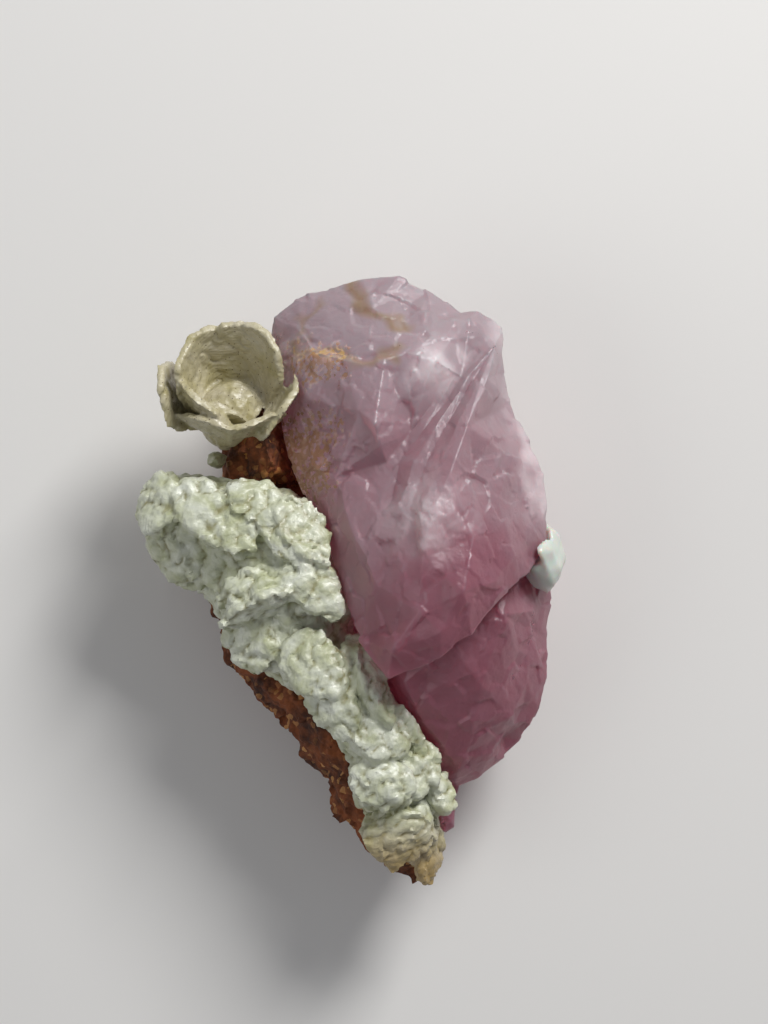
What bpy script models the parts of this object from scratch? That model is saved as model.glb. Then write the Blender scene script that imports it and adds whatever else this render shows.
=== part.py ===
"""A pink apatite crystal with muscovite mica on a scrap of rusty matrix, lying on its back.

The specimen is modelled with +Z up. Seen from above, +Y is the crystal's upper end and +X its
right side. Each mass is a block of flat faces between named corners: an outline at the mass's
widest level with a front above it, and a plainer foot outline with a back below it. The mica's
books are stacks of leaves that are fused to the bed they grow from, and the rosette is a cup of
leaves.
"""

import math
import random

import bmesh
import bpy
import numpy as np
from mathutils import Matrix, Vector, geometry, noise

# Driving dimension. Places below are in design millimetres, where the specimen is 50 long.
SPECIMEN_LENGTH = 0.050

# Clearances and relief, in design millimetres
GAP = 0.3
LARGEST_SWELL = 0.08
CUTTER_GROWTH = GAP + LARGEST_SWELL

# Faces that meet at a smaller angle than this count as one flat face
FLAT_ANGLE = math.radians(0.5)

# Longest edge of a roughened face
CRYSTAL_EDGE = 3.1
MATRIX_EDGE = 2.9
BED_EDGE = 4.5

# The crystal's upper mass, whose lower rim overhangs as a ledge
UPPER_MASS = {
    "outline": [
        (-6.9, 18.6, 10.0), (-6.5, 21.6, 10.4), (-4.4, 23.4, 10.8), (-1.5, 24.4, 11.2), (0.7, 24.7, 11.8),
        (3.8, 24.9, 12.0), (6.2, 23.7, 12.0), (8.8, 21.9, 11.8), (10.1, 22.0, 12.0), (11.5, 21.35, 11.6),
        (12.15, 20.6, 11.8), (12.25, 17.0, 12.8), (12.8, 14.4, 13.2), (14.4, 11.6, 13.2), (15.3, 9.2, 13.4),
        (15.8, 5.9, 13.6), (15.6, 3.2, 14.2), (14.4, 1.0, 16.4), (12.75, -0.2, 18.2), (11.1, -1.85, 19.3),
        (9.5, -4.05, 20.0), (8.25, -4.7, 20.2), (7.0, -5.9, 20.0), (5.4, -7.0, 19.4), (2.9, -7.6, 18.2),
        (0.7, -4.7, 16.6), (-0.5, -1.4, 15.4), (-1.2, 1.0, 14.4), (-2.6, 4.3, 13.0), (-4.6, 8.4, 11.6),
        (-5.6, 11.4, 10.6), (-6.0, 15.0, 10.2),
    ],
    "front": {
        "crest_1": (0.3, 23.1, 12.6), "crest_2": (1.5, 22.1, 13.6), "crest_3": (3.1, 21.3, 14.4),
        "crest_4": (6.4, 21.0, 14.6), "crest_5": (9.5, 21.4, 13.0), "fork": (1.7, 19.6, 15.4),
        "streak_top": (-2.8, 23.1, 11.6), "streak_foot": (-4.4, 20.6, 12.2), "blue_vein": (-1.7, 20.9, 13.6),
        "crack_1": (-2.8, 18.9, 14.0), "crack_2": (-0.7, 18.4, 15.2), "crack_3": (0.9, 18.0, 16.0),
        "crack_4": (2.5, 18.4, 16.2), "crack_5": (3.7, 18.9, 16.4),
        "step_1": (-3.0, 18.45, 14.8), "step_2": (-0.7, 17.95, 16.1), "step_3": (0.9, 17.5, 16.9),
        "step_4": (2.6, 17.9, 17.1), "step_5": (4.2, 18.4, 17.0),
        "dusted": (-5.0, 17.4, 12.8), "shoulder": (-3.8, 14.9, 14.0), "tongue_1": (0.5, 13.7, 17.8),
        "tongue_2": (1.8, 12.6, 18.9), "tongue_3": (2.2, 10.9, 18.2), "left_low": (-1.4, 8.4, 15.8),
        "left_foot": (-0.1, 4.4, 17.0),
        "cloud": (6.6, 17.8, 17.4), "vee_foot": (2.0, 5.6, 18.4), "brow": (11.6, 19.2, 14.8),
        "cheek_1": (12.9, 10.0, 16.6), "cheek_2": (11.6, 6.6, 18.8), "right_4": (9.6, 3.6, 21.2),
        "right_5": (12.9, 2.2, 18.6),
        "bulge_1": (5.6, 2.0, 21.4), "bulge_2": (8.8, -0.6, 22.2), "bulge_3": (5.2, -2.3, 21.6),
        "bulge_4": (3.2, -5.3, 19.8), "bulge_5": (7.0, -3.9, 21.3), "bulge_6": (1.8, 0.2, 19.0),
        "bulge_7": (11.4, 0.2, 20.1),
    },
    "creases": [
        ("crest_1", "crest_2", "crest_3", "crest_4", "crest_5"), ("crest_3", "fork"),
        ("streak_top", "streak_foot"), ("crack_1", "crack_2", "crack_3", "crack_4", "crack_5"),
        ("step_1", "step_2", "step_3", "step_4", "step_5"), ("shoulder", "tongue_1", "tongue_2", "tongue_3"),
        ("bulge_1", "right_4", "right_5"), ("bulge_2", "bulge_5", "bulge_4"),
    ],
    "foot": [
        (-5.8, 17.6, 4.2), (-3.6, 21.6, 5.0), (2.4, 23.4, 4.4), (8.4, 21.2, 4.0), (11.0, 17.0, 3.4),
        (13.0, 11.6, 3.0), (14.2, 5.4, 3.4), (12.6, 0.2, 5.6), (8.4, -3.6, 8.6), (3.6, -5.4, 8.6),
        (-0.4, -0.4, 5.6), (-2.6, 5.6, 4.4), (-5.0, 11.6, 4.0),
    ],
    "back": [
        (-3.4, 16.6, 0.9), (0.4, 19.4, -0.5), (6.6, 17.8, -0.5), (10.0, 12.2, -0.5), (11.2, 5.6, -0.5),
        (8.6, 0.8, 0.6), (2.8, 0.4, -0.5), (-0.6, 7.2, -0.5), (5.0, 9.0, -0.5),
    ],
}

# The recessed lower body under the ledge, with the sliver that runs down behind the mica
LOWER_BODY = {
    "outline": [
        (15.0, 6.0, 10.2), (16.3, 0.8, 10.6), (16.45, -1.4, 10.4), (16.1, -4.7, 10.0), (15.9, -8.0, 9.8),
        (15.2, -10.4, 9.6), (14.0, -13.3, 9.2), (12.6, -14.7, 9.0), (10.3, -16.2, 8.8), (8.7, -16.9, 8.6),
        (8.5, -18.0, 8.2), (8.3, -20.4, 7.8), (7.2, -21.0, 7.6), (5.6, -17.4, 8.0), (3.8, -13.0, 8.8),
        (1.6, -8.6, 9.4), (0.0, -4.0, 9.6), (-1.0, 1.0, 9.6), (1.0, 6.0, 9.6),
    ],
    "front": {
        "apex": (7.9, -5.0, 17.0), "ridge_1": (10.4, -8.3, 15.6), "ridge_2": (12.8, -10.9, 12.4),
        "left_1": (4.0, -8.2, 15.4), "left_2": (5.6, -11.2, 13.6), "left_3": (7.6, -13.6, 12.2),
        "low_1": (9.6, -13.0, 12.8), "low_2": (11.2, -14.6, 10.6), "low_3": (8.6, -15.6, 10.6),
        "right_1": (14.6, -2.4, 13.4), "right_2": (12.2, -2.6, 16.4), "right_3": (14.4, -8.4, 12.0),
        "hidden_1": (13.0, 2.6, 13.4), "hidden_2": (8.0, 3.0, 15.0), "hidden_3": (3.0, -2.0, 14.0),
        "sliver": (7.4, -18.8, 9.0),
    },
    "creases": [
        ("apex", "ridge_1", "ridge_2"), ("left_1", "left_2", "left_3"), ("left_3", "low_1", "ridge_2"),
        ("apex", "right_2", "right_1"),
    ],
    "foot": [
        (13.4, 4.6, 4.6), (14.8, -1.6, 3.0), (14.2, -8.2, 3.2), (12.0, -13.2, 3.6), (8.5, -16.4, 5.2),
        (7.8, -19.8, 6.4), (6.3, -17.2, 5.4), (4.8, -12.6, 3.8), (2.8, -7.6, 3.4), (1.2, -1.0, 3.4),
        (2.4, 4.6, 4.6),
    ],
    "back": [
        (4.6, -5.0, -0.5), (7.0, -10.0, -0.5), (10.0, -10.8, -0.5), (12.2, -6.0, -0.5), (12.0, 0.4, -0.5),
        (4.4, 2.0, -0.5), (9.2, -14.0, 2.2),
    ],
}
# Striations: ridges and grooves in turn, between the valley at their left and the crest at their right
STRIATED_VALLEY = [(8.2, 16.6, 16.2), (4.7, 12.1, 16.8), (2.8, 9.6, 17.2), (2.2, 7.0, 17.8)]
STRIATED_CREST = [(10.9, 16.4, 17.2), (9.1, 12.4, 20.2), (7.8, 8.8, 21.4), (6.2, 5.4, 21.8)]
STRIATION_LINES = 6
STRIATION_HEIGHT = 0.34

# Chips knocked out of the crystal: (centre, radius)
CHIPS = [
    ((15.2, 14.6, 16.4), 3.2), ((6.4, 26.0, 14.4), 3.0), ((-4.8, 25.2, 14.2), 3.2),
    ((15.2, -15.2, 11.6), 4.2), ((18.6, -6.6, 12.0), 3.6), ((7.4, -11.0, 19.4), 4.4),
    ((16.4, 21.0, 7.0), 4.6), ((-8.4, 22.4, 5.6), 4.2), ((12.6, -3.4, 23.8), 3.2),
]

# The rusty strip that carries the mica
MATRIX = {
    "outline": [
        (-10.6, 14.0, 7.4), (-7.6, 16.0, 8.0), (-4.6, 13.0, 7.6), (-3.6, 8.0, 6.6), (-2.0, 4.0, 6.0),
        (-0.5, 0.0, 6.0), (0.2, -4.0, 6.0), (2.0, -8.5, 6.0), (4.0, -12.5, 6.0), (6.0, -16.0, 6.0),
        (7.2, -19.0, 6.0), (7.2, -22.0, 6.6), (6.1, -24.6, 7.0), (5.1, -25.7, 7.4), (3.2, -24.7, 7.2),
        (0.5, -22.7, 6.8), (-0.3, -21.2, 6.2), (-2.1, -20.0, 6.0), (-3.0, -17.2, 6.0), (-5.1, -15.0, 6.0),
        (-6.2, -12.1, 6.0), (-7.9, -11.3, 6.0), (-9.6, -9.0, 6.0), (-11.2, -6.9, 6.0), (-11.7, -4.1, 6.0),
        (-12.6, -1.2, 6.0), (-12.4, 2.0, 6.0), (-12.0, 6.0, 6.2), (-11.6, 10.0, 6.8),
    ],
    "front": {
        "neck_1": (-7.4, 12.4, 12.2), "neck_2": (-6.4, 9.4, 12.6), "neck_3": (-9.4, 10.2, 10.4),
        "spine_1": (-8.4, 6.0, 9.4), "spine_2": (-7.6, 1.0, 9.4), "spine_3": (-7.2, -3.6, 9.8),
        "spine_4": (-4.8, -7.4, 10.2), "spine_5": (-2.6, -11.0, 10.4), "spine_6": (-0.6, -14.6, 10.2),
        "spine_7": (1.4, -18.6, 10.0), "spine_8": (4.2, -19.6, 9.8), "spine_9": (3.8, -22.6, 9.4),
        "flank_1": (-10.4, -4.6, 9.0), "flank_2": (-8.6, -8.2, 9.0), "flank_3": (-5.6, -11.0, 9.0),
        "flank_4": (-3.6, -14.0, 8.8), "flank_5": (-1.4, -18.0, 8.6), "flank_6": (1.4, -21.4, 8.8),
        "flank_7": (-10.8, 2.6, 8.8), "flank_8": (-10.2, -1.0, 9.2),
    },
    "creases": [],
    "foot": [
        (-10.0, 12.6, 4.4), (-5.4, 12.0, 4.2), (-3.2, 4.6, 3.4), (-0.9, -3.2, 3.0), (2.6, -10.6, 3.0),
        (6.2, -18.4, 3.6), (5.2, -23.4, 4.0), (1.4, -21.4, 3.4), (-2.2, -15.8, 2.8), (-6.6, -10.0, 2.6),
        (-10.8, -4.0, 2.6), (-11.2, 3.6, 3.2),
    ],
    "back": [
        (-9.4, 5.0, -0.5), (-9.2, -1.4, -0.5), (-7.4, -5.8, -0.5), (-4.0, -10.4, -0.5), (-0.6, -16.0, -0.5),
        (2.2, -19.8, -0.5), (3.8, -15.4, -0.5), (1.2, -10.0, -0.5), (-1.8, -3.8, -0.5), (-4.0, 3.0, -0.5),
        (-5.8, 8.4, 1.0), (-8.6, 9.4, 1.2),
    ],
}

# The bed of intergrown mica that the books stand on
MICA_BED = {
    "outline": [
        (-17.2, 5.4, 9.0), (-16.9, 7.6, 9.4), (-15.5, 8.9, 9.8), (-13.4, 8.8, 10.0), (-9.3, 8.3, 10.0),
        (-5.2, 7.5, 10.4), (-2.8, 5.6, 11.0), (-0.9, 1.9, 11.8), (-0.2, -0.6, 12.0), (-0.4, -4.4, 11.4),
        (1.2, -6.6, 11.0), (2.7, -9.2, 10.6), (3.7, -12.4, 10.2), (4.7, -14.6, 10.0), (6.2, -17.2, 9.6),
        (7.0, -19.4, 8.8), (7.1, -21.6, 8.0), (6.0, -23.9, 7.4), (4.9, -24.7, 7.2), (3.4, -23.2, 8.6),
        (1.3, -20.2, 9.8), (0.2, -17.6, 10.6), (-0.3, -15.0, 10.8), (-1.7, -12.0, 10.8), (-3.4, -9.7, 10.8),
        (-6.0, -8.6, 10.4), (-8.6, -7.0, 9.8), (-10.4, -3.8, 9.4), (-12.2, -1.4, 8.8), (-14.4, 0.2, 8.2),
        (-15.9, 2.0, 8.2), (-16.7, 3.9, 8.6),
    ],
    "front": {
        "knob": (-14.9, 6.4, 13.4), "plate_1": (-11.6, 6.4, 14.4), "plate_2": (-8.0, 5.8, 15.0),
        "hollow_1": (-14.0, 3.4, 11.8), "hollow_2": (-11.0, 1.6, 12.4), "hollow_3": (-13.0, 0.5, 11.0),
        "grained_1": (-4.8, 4.8, 15.0), "grained_2": (-2.8, 2.4, 15.2), "pocket": (-2.2, -3.2, 13.2),
        "fan_1": (-8.8, -0.8, 13.6), "fan_2": (-5.4, -1.6, 14.8), "tan_1": (-8.0, -4.4, 12.8),
        "tan_2": (-5.2, -6.2, 13.4), "head_1": (-2.6, -6.8, 15.0), "head_2": (0.4, -7.8, 15.2),
        "foot_1": (-0.4, -10.4, 15.2), "foot_2": (2.6, -12.4, 14.8), "shell_1": (1.4, -15.0, 15.0),
        "shell_2": (4.2, -16.8, 14.4), "tip_1": (4.0, -19.6, 12.8), "tip_2": (5.4, -22.4, 11.0),
        "side_1": (-9.8, -6.0, 10.6), "side_2": (-5.6, -8.4, 11.6), "side_3": (-1.6, -11.8, 12.4),
        "side_4": (0.2, -16.4, 12.0), "side_5": (2.2, -20.8, 10.8),
    },
    "creases": [],
    "foot": [
        (-15.6, 5.6, 6.6), (-13.0, 7.6, 7.2), (-5.0, 6.4, 7.2), (-1.6, 0.2, 7.6), (2.4, -8.6, 7.0),
        (5.6, -17.6, 6.4), (5.6, -22.6, 5.6), (1.6, -19.2, 6.8), (-0.6, -13.0, 7.0), (-7.6, -6.6, 6.4),
        (-13.0, 0.4, 5.8), (-15.4, 2.8, 6.2),
    ],
    "back": [(-11.0, 4.0, 5.0), (-8.0, -1.0, 5.0), (-1.0, -9.0, 5.0), (2.0, -14.0, 5.0)],
}

# Mica books: centre, facing, (half length, half width), thickness, leaves, turn in degrees, dome
BOOKS = {
    "left_end": ((-15.2, 6.0, 11.8), (-0.5, 0.25, 0.83), (2.9, 2.2), 3.6, 3, 78, 0.5),
    "left_flank": ((-14.2, 2.2, 10.6), (-0.55, -0.4, 0.74), (3.5, 2.2), 3.0, 4, -48, 0.3),
    "bright_plate": ((-11.3, 5.2, 14.0), (-0.05, 0.25, 0.96), (4.9, 2.5), 1.8, 3, -38, 0.4),
    "plate_back": ((-7.7, 6.2, 13.8), (0.1, 0.45, 0.88), (3.2, 2.0), 2.4, 3, -20, 0.4),
    "olive_hollow": ((-11.6, 1.9, 12.2), (-0.3, -0.3, 0.9), (4.2, 2.4), 2.0, 3, -40, -0.5),
    "grained_side": ((-4.4, 4.0, 14.4), (0.3, 0.35, 0.88), (3.9, 2.5), 2.6, 4, -52, 0.3),
    "curled_leaf": ((-3.2, -0.3, 15.0), (0.1, 0.25, 0.96), (3.9, 2.2), 1.6, 3, -34, 0.8),
    "edge_fan": ((-7.6, -1.0, 14.2), (0.3, -0.8, 0.5), (3.8, 2.1), 3.6, 5, 22, 0.1),
    "tan_book": ((-8.0, -4.9, 12.2), (-0.4, -0.1, 0.91), (3.2, 2.6), 2.4, 3, -50, 0.4),
    "silver_head": ((-3.1, -7.0, 14.5), (-0.2, 0.1, 0.97), (4.1, 2.7), 1.9, 3, -50, 0.5),
    "silver_rim": ((1.2, -8.0, 14.0), (0.5, 0.35, 0.79), (4.8, 1.7), 2.6, 4, -66, 0.4),
    "silver_foot": ((-1.1, -9.9, 14.4), (-0.3, -0.1, 0.95), (3.5, 2.3), 2.2, 3, -50, 0.5),
    "ledge_book": ((1.9, -12.6, 14.2), (0.15, 0.35, 0.92), (3.1, 2.1), 2.4, 3, -24, 0.4),
    "shell_book": ((2.5, -16.3, 13.8), (0.0, 0.1, 0.99), (3.2, 2.5), 3.0, 5, -10, 1.1),
    "tip_book": ((4.0, -20.4, 12.2), (0.2, -0.3, 0.93), (3.2, 2.8), 2.4, 3, 20, 0.4),
    "tip_plate": ((6.3, -22.4, 9.8), (0.82, -0.2, 0.53), (3.0, 1.5), 1.4, 2, 72, 0.1),
    "fringe_high": ((4.4, -11.6, 13.0), (0.5, 0.1, 0.86), (2.3, 1.3), 2.0, 3, -62, 0.2),
    "fringe_mid": ((5.6, -14.6, 12.0), (0.5, 0.2, 0.84), (2.5, 1.4), 2.2, 3, -62, 0.2),
    "fringe_low": ((6.9, -17.4, 11.0), (0.5, 0.3, 0.8), (2.1, 1.3), 2.2, 3, -55, 0.2),
}
BOOK_SIDES = 9
BOOK_RAGGEDNESS = 0.16
BOOK_SLIP = 0.1
BOOK_TAPER = 0.1
LEDGE_SLOPE = 0.05

# The mica rosette is a cup of overlapping leaves round its own axis
ROSETTE_BASE = Vector((-9.9, 13.5, 9.4))
ROSETTE_AXIS = Vector((0.03, 0.6, 0.8))
LEAF_THICKNESS = 0.6
LEAF_ROWS = 2
LEAF_COLUMN_ANGLE = 22.0
# Each leaf: (first angle, last angle) in degrees, foot radius, rim radius, foot and rim height
ROSETTE_LEAVES = [
    ((0, 125), 1.9, 4.3, 0.0, 7.4), ((75, 200), 2.1, 4.8, 0.2, 6.6), ((165, 275), 2.1, 4.4, 0.2, 5.8),
    ((205, 335), 2.4, 5.1, 0.0, 5.0), ((-60, 30), 2.0, 5.7, 0.4, 5.6), ((148, 212), 2.7, 6.2, 0.0, 5.0),
    ((195, 300), 1.5, 3.5, 0.4, 4.9), ((200, 290), 0.9, 2.7, 0.4, 4.1),
]
ROSETTE_FOOT_RADII = Vector((3.0, 2.8, 3.2))
ROSETTE_FLOOR_HEIGHT = 0.2

# Small grains: centre, radii, turn in degrees
QUARTZ_LUMP = (Vector((15.15, 2.4, 12.4)), Vector((1.9, 3.2, 3.4)), 12.0)
MUSCOVITE_BUD = (Vector((-11.2, 9.95, 9.3)), Vector((0.85, 0.7, 2.0)), 0.0)

# Finishes: linear colour, roughness, transmission
FINISHES = {
    "pink_apatite": ((0.62, 0.36, 0.42, 1.0), 0.25, 0.5),
    "muscovite": ((0.50, 0.50, 0.36, 1.0), 0.35, 0.0),
    "rusty_rock": ((0.20, 0.09, 0.04, 1.0), 0.8, 0.0),
    "milky_quartz": ((0.60, 0.62, 0.58, 1.0), 0.3, 0.3),
}


def clear_scene():
    """Removes every object of the startup scene."""
    for obj in list(bpy.data.objects):
        bpy.data.objects.remove(obj)


def make_finish(name):
    """A Principled material for one entry of FINISHES."""
    colour, roughness, transmission = FINISHES[name]
    finish = bpy.data.materials.new(name)
    finish.use_nodes = True
    shader = finish.node_tree.nodes["Principled BSDF"]
    shader.inputs["Base Color"].default_value = colour
    shader.inputs["Roughness"].default_value = roughness
    shader.inputs["Metallic"].default_value = 0.0
    shader.inputs["Transmission Weight"].default_value = transmission
    finish.diffuse_color = colour
    return finish


def object_from(name, bm):
    """A linked object holding the bmesh as triangles that face outwards."""
    bmesh.ops.triangulate(bm, faces=bm.faces)
    bmesh.ops.recalc_face_normals(bm, faces=bm.faces)
    mesh = bpy.data.meshes.new(name)
    bm.to_mesh(mesh)
    bm.free()
    obj = bpy.data.objects.new(name, mesh)
    bpy.context.scene.collection.objects.link(obj)
    return obj


def boolean(obj, others, operation):
    """Joins or cuts the object with all the others at once, which are then removed."""
    group = bpy.data.collections.new("operands")
    for other in others:
        group.objects.link(other)
    modifier = obj.modifiers.new(operation.lower(), "BOOLEAN")
    modifier.operation = operation
    modifier.solver = "EXACT"
    modifier.operand_type = "COLLECTION"
    modifier.collection = group
    bpy.context.view_layer.update()
    graph = bpy.context.evaluated_depsgraph_get()
    baked = bpy.data.meshes.new_from_object(obj.evaluated_get(graph))
    obj.modifiers.clear()
    bm = bmesh.new()
    bm.from_mesh(baked)
    bmesh.ops.triangulate(bm, faces=bm.faces)
    bm.to_mesh(baked)
    bm.free()
    obj.data = baked
    bpy.data.collections.remove(group)
    for other in others:
        bpy.data.objects.remove(other)


def fuse(name, pieces):
    """One object that is the union of the pieces."""
    whole, *others = pieces
    boolean(whole, others, "UNION")
    whole.name = name
    return whole


def grow(bm, growth):
    """Moves every vertex out far enough that each face moves out by the growth."""
    bm.normal_update()
    moves = [vertex.normal * (growth * min(vertex.calc_shell_factor(), 2.0)) for vertex in bm.verts]
    for vertex, move in zip(bm.verts, moves):
        vertex.co += move


def sheet(bm, outline, inner, creases):
    """Fills an outline with faces that meet at the inner corners, and gives its border edges."""
    names = list(inner)
    edges = [
        (len(outline) + names.index(first), len(outline) + names.index(second))
        for crease in creases
        for first, second in zip(crease, crease[1:])
    ]
    spots = [Vector(spot) for spot in outline + list(inner.values())]
    found = geometry.delaunay_2d_cdt([spot.xy for spot in spots], edges, [list(range(len(outline)))], 1, 1e-6)
    corners = [bm.verts.new(spots[origin[0]]) for origin in found[3]]
    faces = [bm.faces.new([corners[index] for index in face]) for face in found[2]]
    return list({edge for face in faces for edge in face.edges if edge.is_boundary})


def block_mesh(plan, growth=0.0):
    """The closed bmesh of a block: its front and back sheets with walls between their borders."""
    bm = bmesh.new()
    back = dict(enumerate(plan["back"]))
    borders = sheet(bm, plan["outline"], plan["front"], plan["creases"]) + sheet(bm, plan["foot"], back, [])
    bmesh.ops.bridge_loops(bm, edges=borders)
    bmesh.ops.triangulate(bm, faces=bm.faces)
    bmesh.ops.recalc_face_normals(bm, faces=bm.faces)
    grow(bm, growth)
    return bm


def striated(plan):
    """The plan with its striations added: lines of corners from the valley across to the crest."""
    front = dict(plan["front"])
    creases = list(plan["creases"])
    for line in range(STRIATION_LINES):
        share = line / (STRIATION_LINES - 1)
        lift = STRIATION_HEIGHT * (-1.0 if line % 2 else 1.0) if 0 < line < STRIATION_LINES - 1 else 0.0
        names = []
        for step, (low, high) in enumerate(zip(STRIATED_VALLEY, STRIATED_CREST)):
            names.append(f"striation_{line}_{step}")
            front[names[-1]] = Vector(low).lerp(Vector(high), share) + Vector((0.0, 0.0, lift))
        creases.append(names)
    return {**plan, "front": front, "creases": creases}


def roughen(bm, longest, relief):
    """Divides the faces down to the longest edge allowed and moves each corner by the relief."""
    while True:
        edges = [edge for edge in bm.edges if edge.calc_length() > longest]
        if not edges:
            break
        bmesh.ops.subdivide_edges(bm, edges=edges, cuts=1)
        bmesh.ops.triangulate(bm, faces=bm.faces)
    bm.normal_update()
    moves = [vertex.normal * relief(vertex.co) for vertex in bm.verts]
    for vertex, move in zip(bm.verts, moves):
        vertex.co += move
    return bm


def crystal_blocks():
    """The plans of the crystal's two intergrown blocks."""
    return [striated(UPPER_MASS), LOWER_BODY]


def merge_flat_faces(obj):
    """Leaves the flat faces in as few triangles as their corners allow."""
    bm = bmesh.new()
    bm.from_mesh(obj.data)
    bmesh.ops.dissolve_limit(bm, angle_limit=FLAT_ANGLE, verts=bm.verts, edges=bm.edges)
    bmesh.ops.triangulate(bm, faces=bm.faces)
    bm.to_mesh(obj.data)
    bm.free()


def crystal_relief(point):
    """Etch hollows cut into some patches of the faces, which stay flat between the patches."""
    patch = min(max(noise.noise(point * 0.2) * 5.0 - 0.6, 0.0), 1.0)
    return -0.5 * patch * min(noise.voronoi(point * 0.45)[0][0], 1.0)


def matrix_relief(point):
    """A crumbly broken surface, cut inwards but for LARGEST_SWELL."""
    lumps = noise.voronoi(point * 0.45)[0][0]
    crumbs = noise.noise(point * 0.9 + Vector((5.0, 2.0, 9.0)))
    return min(-0.9 * min(lumps, 1.0) + 0.7 * crumbs, LARGEST_SWELL)


def mica_relief(point):
    """Crumpled leaves: shallow hollows and folds."""
    return 0.35 * noise.noise(point * 0.6 + Vector((1.0, 8.0, 3.0)))


def facing_matrix(centre, facing, turn=0.0):
    """Places a form whose own +Z is to face that way, its own +X turned from the frame's +X."""
    up = Vector(facing).normalized()
    right = (Vector((1.0, 0.0, 0.0)) - up * up.x).normalized()
    upright = Matrix((right, up.cross(right), up)).transposed().to_4x4()
    return Matrix.Translation(centre) @ upright @ Matrix.Rotation(math.radians(turn), 4, "Z")


def floor_slab():
    """A cutter that takes away everything under the surface the specimen lies on."""
    bm = bmesh.new()
    bmesh.ops.create_cube(bm, size=1.0)
    for vertex in bm.verts:
        vertex.co = Vector((vertex.co.x * 120.0, vertex.co.y * 120.0, (vertex.co.z - 0.5) * 30.0))
    return object_from("floor_slab", bm)


def chip(centre, radius):
    """A round cutter for one conchoidal chip."""
    bm = bmesh.new()
    bmesh.ops.create_icosphere(bm, subdivisions=2, radius=radius)
    bmesh.ops.translate(bm, verts=bm.verts, vec=Vector(centre))
    return object_from("chip", bm)


def build_crystal():
    """The apatite: two intergrown blocks with chips, flat where it lies."""
    blocks = [
        object_from("block", roughen(block_mesh(plan), CRYSTAL_EDGE, crystal_relief))
        for plan in crystal_blocks()
    ]
    crystal = fuse("apatite_crystal", blocks)
    cutters = [chip(centre, radius) for centre, radius in CHIPS]
    boolean(crystal, cutters + [floor_slab()], "DIFFERENCE")
    keep_largest(crystal)
    merge_flat_faces(crystal)
    return crystal


def clear_of(obj, plans, *others):
    """Cuts the object back so that a small gap is left all round the blocks of the plans."""
    rooms = [object_from("room", block_mesh(plan, CUTTER_GROWTH)) for plan in plans]
    boolean(obj, rooms + list(others), "DIFFERENCE")
    keep_largest(obj)


def build_matrix():
    """The rusty strip of rock, cut back from the crystal and flat where it lies."""
    matrix = object_from("rusty_matrix", roughen(block_mesh(MATRIX), MATRIX_EDGE, matrix_relief))
    clear_of(matrix, crystal_blocks(), floor_slab())
    return matrix


def hexagon_reach(angle):
    """Radius of a unit hexagon at an angle, its corners rounded off a little."""
    sector = angle % (math.pi / 3) - math.pi / 6
    return 0.5 * (1.0 + math.cos(math.pi / 6) / math.cos(sector))


def book(place, seed):
    """One mica book: a stack of leaves whose ragged edges stand back and forth from each other."""
    centre, facing, (half_length, half_width), thickness, leaves, turn, dome = place
    chance = random.Random(seed)
    angles = [math.tau * side / BOOK_SIDES for side in range(BOOK_SIDES)]
    bm = bmesh.new()
    outlines = []
    for leaf in range(leaves):
        low = thickness * (leaf / leaves - 0.5)
        high = low + thickness / leaves - LEDGE_SLOPE
        middle = 2.0 * (leaf + 0.5) / leaves - 1.0
        size = 1.0 - BOOK_TAPER * middle * middle - BOOK_SLIP * (leaf % 2)
        slip = Vector((chance.uniform(-1, 1), chance.uniform(-1, 1))) * BOOK_SLIP
        outline = []
        for angle in angles:
            reach = size * hexagon_reach(angle) * (1.0 + chance.uniform(-1, 1) * BOOK_RAGGEDNESS)
            outline.append(Vector((math.cos(angle), math.sin(angle))) * reach + slip)
        outlines.append((outline, low))
        outlines.append((outline, high))

    def corner(flat, height):
        """A vertex of the domed book from its flat place, where 1 is the edge."""
        drop = dome * flat.length_squared
        return bm.verts.new((flat.x * half_length, flat.y * half_width, height + 0.5 * dome - drop))

    skins = [[corner(flat, height) for flat in outline] for outline, height in outlines]
    for ring, following in zip(skins, skins[1:]):
        for side in range(BOOK_SIDES):
            other = (side + 1) % BOOK_SIDES
            bm.faces.new((ring[side], ring[other], following[other], following[side]))
    top_outline, top_height = outlines[-1]
    inner = [corner(flat * 0.55, top_height) for flat in top_outline]
    for skin, height in ((skins[0], outlines[0][1]), (inner, top_height)):
        hub = corner(Vector((0.0, 0.0)), height)
        for side in range(BOOK_SIDES):
            bm.faces.new((skin[side], skin[(side + 1) % BOOK_SIDES], hub))
    for side in range(BOOK_SIDES):
        other = (side + 1) % BOOK_SIDES
        bm.faces.new((skins[-1][side], skins[-1][other], inner[other], inner[side]))
    bmesh.ops.transform(bm, matrix=facing_matrix(centre, facing, turn), verts=bm.verts)
    return object_from("book", bm)


def build_books():
    """All the mica that grew together along the matrix, as one solid."""
    bed = object_from("bed", roughen(block_mesh(MICA_BED), BED_EDGE, mica_relief))
    books = fuse("muscovite_books", [bed] + [book(place, seed) for seed, place in enumerate(BOOKS.values())])
    clear_of(books, crystal_blocks() + [MATRIX])
    return books


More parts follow.
